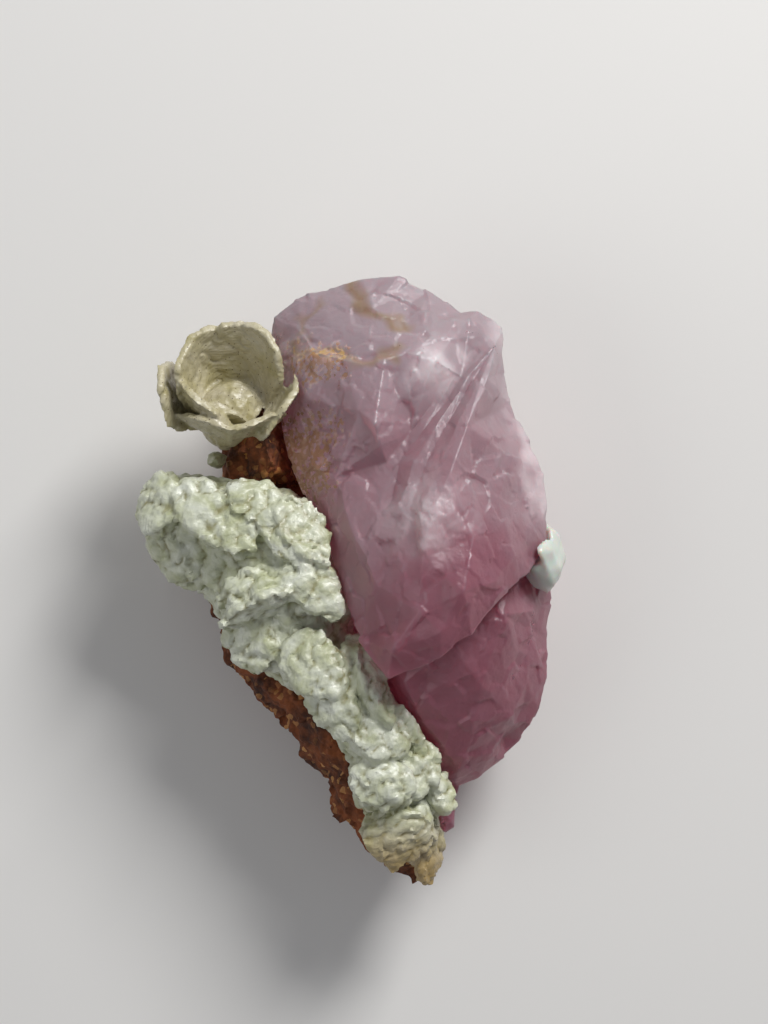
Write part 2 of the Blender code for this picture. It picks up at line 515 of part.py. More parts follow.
def rosette_leaf(spread, foot_radius, rim_radius, foot_height, rim_height, seed):
    """One cupped leaf of the rosette: a curved wall that opens out to a ragged rim."""
    chance = random.Random(seed)
    first, last = (math.radians(angle) for angle in spread)
    columns = round((last - first) / math.radians(LEAF_COLUMN_ANGLE))
    bm = bmesh.new()
    outer, inner = [], []
    for column in range(columns + 1):
        share = column / columns
        angle = first + (last - first) * share
        ends = 1.0 - (2.0 * share - 1.0) ** 4
        rim = rim_height * (0.6 + 0.4 * ends) + chance.uniform(-0.35, 0.35)
        sway = chance.uniform(-0.12, 0.12)
        for strips, inset in ((outer, 0.0), (inner, LEAF_THICKNESS)):
            strip = []
            for row in range(LEAF_ROWS + 1):
                up = row / LEAF_ROWS
                reach = foot_radius + (rim_radius - foot_radius) * math.sin(up * math.pi / 2) + sway - inset
                height = foot_height + (rim - foot_height) * up
                strip.append(bm.verts.new((reach * math.cos(angle), reach * math.sin(angle), height)))
            strips.append(strip)
    for wall in (outer, inner):
        for column in range(columns):
            for row in range(LEAF_ROWS):
                near, far = wall[column], wall[column + 1]
                bm.faces.new((near[row], far[row], far[row + 1], near[row + 1]))
    for column in range(columns):
        for row in (0, LEAF_ROWS):
            bm.faces.new((outer[column][row], outer[column + 1][row], inner[column + 1][row], inner[column][row]))
    for column in (0, columns):
        for row in range(LEAF_ROWS):
            bm.faces.new((outer[column][row], outer[column][row + 1], inner[column][row + 1], inner[column][row]))
    return object_from("leaf", bm)


def lump(name, centre, radii, turn, roughness, subdivisions, seed):
    """A rounded, slightly uneven grain."""
    bm = bmesh.new()
    bmesh.ops.create_icosphere(bm, subdivisions=subdivisions, radius=1.0)
    drift = Vector((seed * 3.7, seed * 1.9, seed * 5.3))
    for vertex in bm.verts:
        bump = 1.0 + roughness * 2.0 * noise.noise(vertex.co * 1.7 + drift)
        vertex.co = Vector(vertex.co[axis] * radii[axis] * bump for axis in range(3))
    placing = Matrix.Translation(centre) @ Matrix.Rotation(math.radians(turn), 4, "Z")
    bmesh.ops.transform(bm, matrix=placing, verts=bm.verts)
    return object_from(name, bm)


def build_rosette():
    """The cup-shaped rosette: overlapping leaves round a thick foot."""
    foot_place = Vector((0.0, 0.0, ROSETTE_FLOOR_HEIGHT))
    rosette = lump("foot", foot_place, ROSETTE_FOOT_RADII, 0.0, 0.06, 2, 4)
    leaves = [rosette_leaf(*leaf, seed) for seed, leaf in enumerate(ROSETTE_LEAVES)]
    rosette = fuse("muscovite_rosette", [rosette] + leaves)
    rosette.data.transform(facing_matrix(ROSETTE_BASE, ROSETTE_AXIS))
    clear_of(rosette, crystal_blocks() + [MATRIX])
    return rosette


def build_quartz():
    """The milky lump on the crystal's right edge."""
    grain = lump("quartz_lump", *QUARTZ_LUMP, 0.12, 2, 2)
    clear_of(grain, crystal_blocks())
    return grain


def build_bud():
    """The small mica bud between the rosette and the books."""
    bud = lump("muscovite_bud", *MUSCOVITE_BUD, 0.15, 2, 7)
    clear_of(bud, [MATRIX])
    return bud


def keep_largest(obj):
    """Drops the crumbs that a cut leaves apart from the main body."""
    bm = bmesh.new()
    bm.from_mesh(obj.data)
    left = set(bm.verts)
    shells = []
    while left:
        shell, edge = set(), [left.pop()]
        while edge:
            vertex = edge.pop()
            shell.add(vertex)
            near = {link.other_vert(vertex) for link in vertex.link_edges} & left
            left -= near
            edge.extend(near)
        shells.append(shell)
    shells.sort(key=len, reverse=True)
    bmesh.ops.delete(bm, geom=[vertex for shell in shells[1:] for vertex in shell], context="VERTS")
    bm.to_mesh(obj.data)
    bm.free()


def settle_in_frame(pieces):
    """Scales the pieces to metres and puts the frame's origin under the middle of their box."""
    corners = np.array([vertex.co for piece in pieces for vertex in piece.data.vertices])
    low, high = corners.min(axis=0), corners.max(axis=0)
    middle = Vector(((low[0] + high[0]) / 2, (low[1] + high[1]) / 2, low[2]))
    scale = SPECIMEN_LENGTH / (high[1] - low[1])
    for piece in pieces:
        piece.data.transform(Matrix.Scale(scale, 4) @ Matrix.Translation(-middle))


def main():
    """Builds every piece, finishes it and sets it in the frame."""
    clear_scene()
    finishes = {name: make_finish(name) for name in FINISHES}
    pieces = {
        build_crystal(): "pink_apatite",
        build_matrix(): "rusty_rock",
        build_books(): "muscovite",
        build_rosette(): "muscovite",
        build_bud(): "muscovite",
        build_quartz(): "milky_quartz",
    }
    settle_in_frame(list(pieces))
    for piece, finish in pieces.items():
        piece.data.materials.clear()
        piece.data.materials.append(finishes[finish])
        piece.data.shade_flat()


main()
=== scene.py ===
"""Looks of a pink apatite crystal on muscovite mica, with a strip of rusty rock under the mica.

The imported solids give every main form. This script divides copies of them finely, breaks, etches
and crumples the surface with fixed noise, and gives each mineral a material of its own. The
specimen lies on its back and the camera looks straight down on it, as the photograph does.
"""

import logging
import math
from dataclasses import dataclass
from enum import Enum
from typing import Callable, Iterable, Sequence

import bmesh
import bpy
import numpy as np
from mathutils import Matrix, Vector, noise
from mathutils.bvhtree import BVHTree


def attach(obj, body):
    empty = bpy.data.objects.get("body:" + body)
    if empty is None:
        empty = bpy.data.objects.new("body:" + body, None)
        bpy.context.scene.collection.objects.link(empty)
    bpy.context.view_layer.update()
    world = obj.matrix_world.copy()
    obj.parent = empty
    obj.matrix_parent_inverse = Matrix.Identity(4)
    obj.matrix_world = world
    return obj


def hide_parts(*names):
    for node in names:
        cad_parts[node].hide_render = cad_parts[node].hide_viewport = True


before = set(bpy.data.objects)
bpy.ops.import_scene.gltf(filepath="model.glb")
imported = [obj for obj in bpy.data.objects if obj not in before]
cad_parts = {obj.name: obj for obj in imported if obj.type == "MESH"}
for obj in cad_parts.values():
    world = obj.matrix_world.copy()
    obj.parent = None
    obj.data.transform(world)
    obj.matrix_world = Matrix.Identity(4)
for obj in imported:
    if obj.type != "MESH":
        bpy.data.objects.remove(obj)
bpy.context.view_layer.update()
MM = 0.001
BODY = "root"
LOG = logging.getLogger("apatite_specimen")


class Node(Enum):
    """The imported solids, by the names that the frame gives them."""

    CRYSTAL = "apatite_crystal"
    BOOKS = "muscovite_books"
    ROSETTE = "muscovite_rosette"
    BUD = "muscovite_bud"
    MATRIX = "rusty_matrix"
    QUARTZ = "quartz_lump"


class Slot(Enum):
    """The record's material slots."""

    APATITE = "pink_apatite"
    MICA = "muscovite"
    ROCK = "rusty_rock"
    QUARTZ = "milky_quartz"


def linear(colour: str) -> tuple[float, float, float, float]:
    """Turns an sRGB hex colour into linear light.

    Args:
        colour: The colour as #RRGGBB.

    Returns:
        Red, green, blue and an alpha of 1.
    """
    parts = [int(colour[index : index + 2], 16) / 255 for index in (1, 3, 5)]
    light = [part / 12.92 if part <= 0.04045 else ((part + 0.055) / 1.055) ** 2.4 for part in parts]
    return (*light, 1.0)


def add(
    tree: bpy.types.NodeTree,
    kind: str,
    settings: dict | None = None,
    values: dict | None = None,
    links: dict | None = None,
) -> bpy.types.Node:
    """Adds one node with its settings and links.

    Args:
        tree: The tree that takes the node.
        kind: The node's type name.
        settings: The node's own properties.
        values: Values of its input sockets, by name or number.
        links: Outputs of other nodes, by the input socket that each feeds.

    Returns:
        The new node.
    """
    node = tree.nodes.new(kind)
    for name, value in (settings or {}).items():
        setattr(node, name, value)
    for socket, value in (values or {}).items():
        node.inputs[socket].default_value = value
    for socket, source in (links or {}).items():
        tree.links.new(source, node.inputs[socket])
    return node


@dataclass(frozen=True)
class PhotoPlane:
    """The photograph's camera. It also tells which picture point shows a place on the specimen."""

    eye: tuple[float, float, float] = (0.002843, 0.005916, 0.287906)
    lens_mm: float = 120.0
    sensor_mm: float = 36.0
    width: int = 768
    height: int = 1024

    @property
    def focal(self) -> float:
        """The focal length in picture points."""
        return self.lens_mm / self.sensor_mm * self.height

    def pixels(self, points: np.ndarray) -> np.ndarray:
        """Where places on the specimen show in the photograph.

        Args:
            points: Places in metres, one a row.

        Returns:
            Their picture points, one a row.
        """
        depth = self.eye[2] - points[:, 2]
        across = self.width / 2 + self.focal * (points[:, 0] - self.eye[0]) / depth
        down = self.height / 2 - self.focal * (points[:, 1] - self.eye[1]) / depth
        return np.stack((across, down), axis=1)

    def hit(self, skin: BVHTree, spot: tuple[float, float]) -> tuple[Vector, Vector] | None:
        """Finds the place on a skin that a picture point shows.

        Args:
            skin: The search tree of the skin.
            spot: The picture point.

        Returns:
            The place and the skin's normal there, or None where the skin doesn't show.
        """
        way = Vector(((spot[0] - self.width / 2) / self.focal, (self.height / 2 - spot[1]) / self.focal, -1.0))
        place, normal, _, _ = skin.ray_cast(Vector(self.eye), way.normalized())
        return None if place is None else (place, normal)

    def camera(self) -> bpy.types.Object:
        """Makes the camera and gives it to the scene."""
        lens = bpy.data.cameras.new("photo_camera")
        lens.lens = self.lens_mm
        lens.sensor_width = self.sensor_mm
        lens.clip_start = 0.01
        camera = bpy.data.objects.new("photo_camera", lens)
        camera.location = self.eye
        bpy.context.scene.collection.objects.link(camera)
        bpy.context.scene.camera = camera
        return camera


PHOTO = PhotoPlane()


def path_mask(pixels: np.ndarray, path: Sequence[tuple[float, float]], reach: float) -> np.ndarray:
    """How near picture points are to a path.

    Args:
        pixels: Picture points, one a row.
        path: The path's corners in picture points.
        reach: The distance at which the mask is down to 0.

    Returns:
        1 on the path, falling to 0 at the reach.
    """
    best = np.full(len(pixels), np.inf)
    for first, second in zip(path, path[1:]):
        start, step = np.array(first, float), np.array(second, float) - np.array(first, float)
        share = np.clip((pixels - start) @ step / (step @ step), 0.0, 1.0)
        best = np.minimum(best, np.linalg.norm(pixels - start - share[:, None] * step, axis=1))
    return np.clip(1.0 - best / reach, 0.0, 1.0)


def patch_mask(
    pixels: np.ndarray, centre: tuple[float, float], radii: tuple[float, float], turn: float = 0.0
) -> np.ndarray:
    """How far inside an oval patch picture points are.

    Args:
        pixels: Picture points, one a row.
        centre: The patch's centre.
        radii: Its half length and half width.
        turn: The turn of its length from the picture's horizontal, in degrees clockwise.

    Returns:
        1 at the centre, falling smoothly to 0 at the patch's edge.
    """
    angle = math.radians(turn)
    along = np.array((math.cos(angle), math.sin(angle)))
    aside = np.array((-math.sin(angle), math.cos(angle)))
    away = pixels - np.array(centre, float)
    reach = np.hypot(away @ along / radii[0], away @ aside / radii[1])
    fall = np.clip(1.0 - reach, 0.0, 1.0)
    return fall * fall * (3.0 - 2.0 * fall)


def smooth_step(values: np.ndarray, low: float, high: float) -> np.ndarray:
    """Raises values smoothly from 0 at the low limit to 1 at the high one."""
    share = np.clip((values - low) / (high - low), 0.0, 1.0)
    return share * share * (3.0 - 2.0 * share)


def facets(place: Vector, size: float, seed: float) -> float:
    """A mosaic of small flat facets, each leaning its own way.

    Args:
        place: The place in millimetres.
        size: The facets' width in millimetres.
        seed: Chooses the mosaic.

    Returns:
        The height, about -0.5 to 0.5 times the facets' width.
    """
    spot = place / size + Vector((seed, seed * 1.7, seed * 2.3))
    cell = noise.voronoi(spot)[1][0]
    return noise.noise_vector(cell * 7.31).dot(spot - cell) * size


def ridged(place: Vector, size: float, seed: float) -> float:
    """Folds like those of a crumpled sheet, 0 in the folds and up to 1 between them."""
    spot = place / size + Vector((seed, seed * 1.3, seed * 2.9))
    broad = abs(noise.noise(spot))
    return min(2.2 * broad + 0.8 * abs(noise.noise(spot * 2.3)), 1.0)


class Skin:
    """A copy of one node's mesh, merged, that is divided and worked before it becomes a piece."""

    rounds = 6

    def __init__(self, node: Node) -> None:
        """Copies the node's mesh and merges its loose triangles."""
        self.bm = bmesh.new()
        self.bm.from_mesh(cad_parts[node.value].data)
        bmesh.ops.remove_doubles(self.bm, verts=self.bm.verts, dist=1e-7)
        bmesh.ops.dissolve_degenerate(self.bm, dist=1e-7, edges=self.bm.edges)

    def divide(self, front: float, back: float) -> None:
        """Halves the edges that are too long, in a few rounds.

        Args:
            front: The longest edge allowed on faces that look up, in metres.
            back: The longest edge allowed elsewhere.
        """
        for _ in range(self.rounds):
            self.bm.normal_update()
            long = [
                edge
                for edge in self.bm.edges
                if edge.calc_length() > (front if any(face.normal.z > -0.1 for face in edge.link_faces) else back)
            ]
            bmesh.ops.subdivide_edges(self.bm, edges=long, cuts=1)
            bmesh.ops.triangulate(self.bm, faces=[face for face in self.bm.faces if len(face.verts) > 3])

    def remesh(self, size: float) -> None:
        """Makes the mesh anew of even small squares.

        Args:
            size: The squares' width in metres.
        """
        mesh = bpy.data.meshes.new("skin")
        self.bm.to_mesh(mesh)
        holder = bpy.data.objects.new("skin", mesh)
        bpy.context.scene.collection.objects.link(holder)
        voxels = holder.modifiers.new("voxels", "REMESH")
        voxels.mode = "VOXEL"
        voxels.voxel_size = size
        bpy.context.view_layer.update()
        made = bpy.data.meshes.new_from_object(holder.evaluated_get(bpy.context.evaluated_depsgraph_get()))
        self.bm.free()
        self.bm = bmesh.new()
        self.bm.from_mesh(made)
        bpy.data.objects.remove(holder)
        bpy.data.meshes.remove(mesh)
        bpy.data.meshes.remove(made)
        self.bm.normal_update()

    def points(self) -> np.ndarray:
        """The vertices' places in metres, one a row."""
        return np.array([vertex.co for vertex in self.bm.verts])

    def normals(self) -> np.ndarray:
        """The vertices' normals, one a row."""
        self.bm.normal_update()
        return np.array([vertex.normal for vertex in self.bm.verts])

    def sample(self, rule: Callable[[Vector], float]) -> np.ndarray:
        """A rule's value at each vertex, whose place it takes in millimetres."""
        return np.array([rule(vertex.co / MM) for vertex in self.bm.verts])

    def swell(self, heights: np.ndarray) -> None:
        """Moves each vertex along its normal.

        Args:
            heights: The moves in millimetres.
        """
        self.bm.normal_update()
        moves = [vertex.normal * float(height) * MM for vertex, height in zip(self.bm.verts, heights)]
        for vertex, move in zip(self.bm.verts, moves):
            vertex.co += move

    def tree(self) -> BVHTree:
        """A search tree of the faces."""
        return BVHTree.FromBMesh(self.bm)

    def piece(self, name: str, masks: dict[str, np.ndarray], sharp: float) -> bpy.types.Object:
        """Turns the skin into an object.

        Args:
            name: The object's name.
            masks: Values for each vertex, by the attribute that keeps them.
            sharp: The angle in degrees past which an edge isn't smoothed.

        Returns:
            The object, linked to the scene.
        """
        mesh = bpy.data.meshes.new(name)
        self.bm.to_mesh(mesh)
        self.bm.free()
        for label, values in masks.items():
            mesh.attributes.new(label, "FLOAT", "POINT").data.foreach_set("value", values.astype(np.float32))
        mesh.shade_smooth()
        mesh.set_sharp_from_angle(angle=math.radians(sharp))
        obj = bpy.data.objects.new(name, mesh)
        bpy.context.scene.collection.objects.link(obj)
        return obj


def settle(
    piece: bpy.types.Object, material: bpy.types.Material, replaced: Iterable[Node] = ()
) -> bpy.types.Object:
    """Gives a finished piece its material and its place in the frame's table.

    Args:
        piece: The finished piece.
        material: Its material.
        replaced: The nodes that it stands for.

    Returns:
        The piece.
    """
    piece.data.materials.clear()
    piece.data.materials.append(material)
    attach(piece, BODY)
    for node in replaced:
        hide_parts(node.value)
    piece.data.calc_loop_triangles()
    LOG.info("%s: %d triangles", piece.name, len(piece.data.loop_triangles))
    return piece


@dataclass(frozen=True)
class ApatiteFinish:
    """Fluorapatite, clear to milky, broken and etched.

    Light goes a few millimetres into it and comes back pink, its broken faces shine like glass,
    and etched patches scatter white.
    """

    lilac: str = "#E2CFD6"
    pink: str = "#CF8FA0"
    # A darker pink for the bulge, also used as painted shade on the body below the ledge.
    rose_and_ledge_shade: str = "#B86E80"
    frost: str = "#F3EDEC"
    rust: str = "#9A6A3C"
    gold: str = "#C9A866"
    absorbed: str = "#F0A9BC"

    def make(self) -> bpy.types.Material:
        """Makes the material."""
        material = bpy.data.materials.new("apatite_broken_and_etched")
        material.use_nodes = True
        tree = material.node_tree
        shader = tree.nodes["Principled BSDF"]
        output = tree.nodes["Material Output"]
        place = add(tree, "ShaderNodeTexCoord").outputs["Object"]
        zone = {
            name: add(tree, "ShaderNodeAttribute", {"attribute_name": name}).outputs["Fac"]
            for name in ("pink_and_ledge_shade", "frost", "rust", "gold", "etch")
        }
        clouds = add(
            tree, "ShaderNodeTexNoise", {}, {"Scale": 190.0, "Detail": 6.0, "Roughness": 0.6, "Distortion": 0.8},
            {"Vector": place},
        ).outputs["Fac"]
        wisps = add(
            tree, "ShaderNodeTexNoise", {"noise_type": "RIDGED_MULTIFRACTAL"},
            {"Scale": 260.0, "Detail": 7.0, "Roughness": 0.62, "Distortion": 1.2}, {"Vector": place},
        ).outputs["Fac"]
        grains = add(tree, "ShaderNodeTexVoronoi", {}, {"Scale": 3400.0}, {"Vector": place})
        bright = add(
            tree, "ShaderNodeMapRange", {}, {"From Min": 0.3, "From Max": 0.72}, {"Value": clouds}
        ).outputs["Result"]
        # The darker pinks go where the bulge is a real deeper pink and, as painted shade, on the body below the ledge.
        depth = add(tree, "ShaderNodeMath", {"operation": "MULTIPLY"}, {}, {0: bright, 1: zone["pink_and_ledge_shade"]})
        tint = add(
            tree, "ShaderNodeMix", {"data_type": "RGBA"}, {6: linear(self.lilac), 7: linear(self.pink)},
            {0: add(tree, "ShaderNodeMapRange", {}, {"From Max": 0.75}, {"Value": zone["pink_and_ledge_shade"]}).outputs["Result"]},
        ).outputs[2]
        tint = add(
            tree, "ShaderNodeMix", {"data_type": "RGBA"}, {7: linear(self.rose_and_ledge_shade)},
            {0: depth.outputs[0], 6: tint},
        ).outputs[2]
        veil = add(
            tree, "ShaderNodeMapRange", {}, {"From Min": 0.62, "From Max": 1.15, "To Max": 0.6}, {"Value": wisps}
        ).outputs["Result"]
        white = add(tree, "ShaderNodeMath", {"operation": "MAXIMUM"}, {}, {0: veil, 1: zone["frost"]}).outputs[0]
        tint = add(
            tree, "ShaderNodeMix", {"data_type": "RGBA"}, {7: linear(self.frost)}, {0: white, 6: tint}
        ).outputs[2]
        speck = add(
            tree, "ShaderNodeMath", {"operation": "SUBTRACT"}, {}, {0: zone["rust"], 1: grains.outputs["Color"]}
        ).outputs[0]
        stain = add(
            tree, "ShaderNodeMapRange", {}, {"From Min": 0.0, "From Max": 0.25, "To Max": 0.85}, {"Value": speck}
        ).outputs["Result"]
        tint = add(
            tree, "ShaderNodeMix", {"data_type": "RGBA"}, {7: linear(self.rust)}, {0: stain, 6: tint}
        ).outputs[2]
        crust = add(
            tree, "ShaderNodeMath", {"operation": "MULTIPLY", "use_clamp": True}, {1: 0.9}, {0: zone["gold"]}
        ).outputs[0]
        tint = add(
            tree, "ShaderNodeMix", {"data_type": "RGBA"}, {7: linear(self.gold)}, {0: crust, 6: tint}
        ).outputs[2]
        tree.links.new(tint, shader.inputs["Base Color"])
        clear = add(
            tree, "ShaderNodeMapRange", {}, {"From Min": 0.0, "From Max": 0.8, "To Min": 0.62, "To Max": 0.12},
            {"Value": white},
        ).outputs["Result"]
        bare = add(tree, "ShaderNodeMath", {"operation": "SUBTRACT", "use_clamp": True}, {}, {0: clear, 1: stain})
        tree.links.new(bare.outputs[0], shader.inputs["Transmission Weight"])
        rough = add(
            tree, "ShaderNodeMapRange", {}, {"To Min": 0.16, "To Max": 0.5}, {"Value": clouds}
        ).outputs["Result"]
        tree.links.new(rough, shader.inputs["Roughness"])
        pits = add(
            tree, "ShaderNodeTexNoise", {}, {"Scale": 1500.0, "Detail": 8.0, "Roughness": 0.7}, {"Vector": place}
        ).outputs["Fac"]
        steps = add(
            tree, "ShaderNodeTexVoronoi", {"feature": "F1"}, {"Scale": 1300.0, "Randomness": 1.0}, {"Vector": place}
        ).outputs["Distance"]
        etched = add(tree, "ShaderNodeMath", {"operation": "MULTIPLY"}, {}, {0: steps, 1: zone["etch"]}).outputs[0]
        height = add(tree, "ShaderNodeMath", {"operation": "ADD"}, {}, {0: pits, 1: etched}).outputs[0]
        bump = add(
            tree, "ShaderNodeBump", {}, {"Strength": 0.35, "Distance": 0.0002}, {"Height": height}
        ).outputs["Normal"]
        tree.links.new(bump, shader.inputs["Normal"])
        shader.inputs["IOR"].default_value = 1.63
        shader.inputs["Subsurface Weight"].default_value = 0.5
        shader.inputs["Subsurface Radius"].default_value = (1.0, 0.55, 0.6)
        shader.inputs["Subsurface Scale"].default_value = 0.003
        absorption = add(
            tree, "ShaderNodeVolumeAbsorption", {}, {"Color": linear(self.absorbed), "Density": 70.0}
        )
        tree.links.new(absorption.outputs["Volume"], output.inputs["Volume"])
        return material


@dataclass(frozen=True)
class MicaFinish:
    """Muscovite, grown in thin leaves and crumpled.

    Its leaf faces have a pearly silver shine with a green cast, and its leaf edges are khaki to tan.
    The creases of the crumpled mass are darkened towards khaki as painted shade.
    """

    name: str = "muscovite_pearly_leaves"
    silver: str = "#D9DCCB"
    green: str = "#B3B78F"
    khaki_and_crease_shade: str = "#7E7843"
    # Khaki: an even tone on the bud, and painted shade in the creases of the mass.
    tan: str = "#A58B57"
    speck: str = "#4A3216"

    def make(self) -> bpy.types.Material:
        """Makes the material."""
        material = bpy.data.materials.new(self.name)
        material.use_nodes = True
        tree = material.node_tree
        shader = tree.nodes["Principled BSDF"]
        place = add(tree, "ShaderNodeTexCoord").outputs["Object"]
        zone = {
            name: add(tree, "ShaderNodeAttribute", {"attribute_name": name}).outputs["Fac"]
            for name in ("tan", "khaki_tone_and_crease_shade", "speckled", "leaf_height")
        }
        patches = add(
            tree, "ShaderNodeTexNoise", {}, {"Scale": 420.0, "Detail": 6.0, "Roughness": 0.6, "Distortion": 0.6},
            {"Vector": place},
        ).outputs["Fac"]
        shine = add(
            tree, "ShaderNodeMapRange", {}, {"From Min": 0.35, "From Max": 0.65}, {"Value": patches}
        ).outputs["Result"]
        tint = add(
            tree, "ShaderNodeMix", {"data_type": "RGBA"}, {6: linear(self.green), 7: linear(self.silver)}, {0: shine}
        ).outputs[2]
        tint = add(
            # Painted shade: the creases of the crumpled mass are darkened towards khaki; on the bud the same khaki is
            # an even tone.
            tree, "ShaderNodeMix", {"data_type": "RGBA"}, {7: linear(self.khaki_and_crease_shade)}, {0: zone["khaki_tone_and_crease_shade"], 6: tint}
        ).outputs[2]
        tint = add(
            tree, "ShaderNodeMix", {"data_type": "RGBA"}, {7: linear(self.tan)}, {0: zone["tan"], 6: tint}
        ).outputs[2]
        dots = add(tree, "ShaderNodeTexVoronoi", {}, {"Scale": 2600.0}, {"Vector": place})
        dark = add(
            tree, "ShaderNodeMapRange", {}, {"From Min": 0.16, "From Max": 0.1}, {"Value": dots.outputs["Distance"]}
        ).outputs["Result"]
        dark = add(tree, "ShaderNodeMath", {"operation": "MULTIPLY"}, {}, {0: dark, 1: zone["speckled"]}).outputs[0]
        tint = add(
            tree, "ShaderNodeMix", {"data_type": "RGBA"}, {7: linear(self.speck)}, {0: dark, 6: tint}
        ).outputs[2]
        tree.links.new(tint, shader.inputs["Base Color"])
        rough = add(
            tree, "ShaderNodeMapRange", {}, {"To Min": 0.5, "To Max": 0.22}, {"Value": shine}
        ).outputs["Result"]
        tree.links.new(rough, shader.inputs["Roughness"])
        leaves = add(
            tree, "ShaderNodeMath", {"operation": "PINGPONG"}, {1: 0.09}, {0: zone["leaf_height"]}
        ).outputs[0]
        leaves = add(tree, "ShaderNodeMath", {"operation": "MULTIPLY"}, {1: 4.0}, {0: leaves}).outputs[0]
        crinkle = add(
            tree, "ShaderNodeTexVoronoi", {}, {"Scale": 1900.0, "Randomness": 1.0}, {"Vector": place}
        ).outputs["Distance"]
        fine = add(
            tree, "ShaderNodeTexNoise", {}, {"Scale": 2600.0, "Detail": 5.0, "Roughness": 0.7}, {"Vector": place}
        ).outputs["Fac"]
        height = add(tree, "ShaderNodeMath", {"operation": "ADD"}, {}, {0: crinkle, 1: fine}).outputs[0]
        height = add(tree, "ShaderNodeMath", {"operation": "ADD"}, {}, {0: height, 1: leaves}).outputs[0]
        bump = add(
            tree, "ShaderNodeBump", {}, {"Strength": 0.6, "Distance": 0.00012}, {"Height": height}
        ).outputs["Normal"]
        tree.links.new(bump, shader.inputs["Normal"])
        shader.inputs["IOR"].default_value = 1.58
        shader.inputs["Coat Weight"].default_value = 0.35
        shader.inputs["Coat Roughness"].default_value = 0.25
        return material


@dataclass(frozen=True)
class RockFinish:
    """Iron-stained mica schist, weathered and crumbly.

    It is dull and dark red-brown, with orange and gold grains where rust coats the mica in it.
    """

    dark: str = "#3A1B0C"
    rust: str = "#8A4A22"
    gold: str = "#C58A48"

    def make(self) -> bpy.types.Material:
        """Makes the material."""
        material = bpy.data.materials.new("rusty_schist_weathered")
        material.use_nodes = True
        tree = material.node_tree
        shader = tree.nodes["Principled BSDF"]
        place = add(tree, "ShaderNodeTexCoord").outputs["Object"]
        patches = add(
            tree, "ShaderNodeTexNoise", {}, {"Scale": 480.0, "Detail": 8.0, "Roughness": 0.68}, {"Vector": place}
        ).outputs["Fac"]
        share = add(
            tree, "ShaderNodeMapRange", {}, {"From Min": 0.38, "From Max": 0.62}, {"Value": patches}
        ).outputs["Result"]
        tint = add(
            tree, "ShaderNodeMix", {"data_type": "RGBA"}, {6: linear(self.dark), 7: linear(self.rust)}, {0: share}
        ).outputs[2]
        crumbs = add(tree, "ShaderNodeTexVoronoi", {}, {"Scale": 2200.0}, {"Vector": place})
        lit = add(
            tree, "ShaderNodeMapRange", {}, {"From Min": 0.72, "From Max": 0.95}, {"Value": crumbs.outputs["Color"]}
        ).outputs["Result"]
        tint = add(
            tree, "ShaderNodeMix", {"data_type": "RGBA"}, {7: linear(self.gold)}, {0: lit, 6: tint}
        ).outputs[2]
        tree.links.new(tint, shader.inputs["Base Color"])
        rough = add(
            tree, "ShaderNodeMapRange", {}, {"To Min": 0.85, "To Max": 0.45}, {"Value": lit}
        ).outputs["Result"]
        tree.links.new(rough, shader.inputs["Roughness"])
        height = add(
            tree, "ShaderNodeMath", {"operation": "SUBTRACT"}, {}, {0: patches, 1: crumbs.outputs["Distance"]}
        ).outputs[0]
        bump = add(
            tree, "ShaderNodeBump", {}, {"Strength": 0.7, "Distance": 0.0002}, {"Height": height}
        ).outputs["Normal"]
        tree.links.new(bump, shader.inputs["Normal"])
        shader.inputs["IOR"].default_value = 1.55
        return material


@dataclass(frozen=True)
class QuartzFinish:
    """Milky quartz, rounded and smooth.

    It is pale grey-green, with a waxy depth and a soft broad shine.
    """

    body: str = "#D3D8CF"

    def make(self) -> bpy.types.Material:
        """Makes the material."""
        material = bpy.data.materials.new("milky_quartz_smooth")
        material.use_nodes = True
        tree = material.node_tree
        shader = tree.nodes["Principled BSDF"]
        place = add(tree, "ShaderNodeTexCoord").outputs["Object"]
        clouds = add(
            tree, "ShaderNodeTexNoise", {}, {"Scale": 500.0, "Detail": 5.0, "Distortion": 1.0}, {"Vector": place}
        ).outputs["Fac"]
        tint = add(
            tree, "ShaderNodeMix", {"data_type": "RGBA"}, {6: linear("#BFC6BC"), 7: linear(self.body)}, {0: clouds}
        ).outputs[2]
        tree.links.new(tint, shader.inputs["Base Color"])
        bump = add(
            tree, "ShaderNodeBump", {}, {"Strength": 0.25, "Distance": 0.0002}, {"Height": clouds}
        ).outputs["Normal"]
        tree.links.new(bump, shader.inputs["Normal"])
        shader.inputs["Roughness"].default_value = 0.28
        shader.inputs["IOR"].default_value = 1.54
        shader.inputs["Subsurface Weight"].default_value = 0.6
        shader.inputs["Subsurface Scale"].default_value = 0.0015
        return material


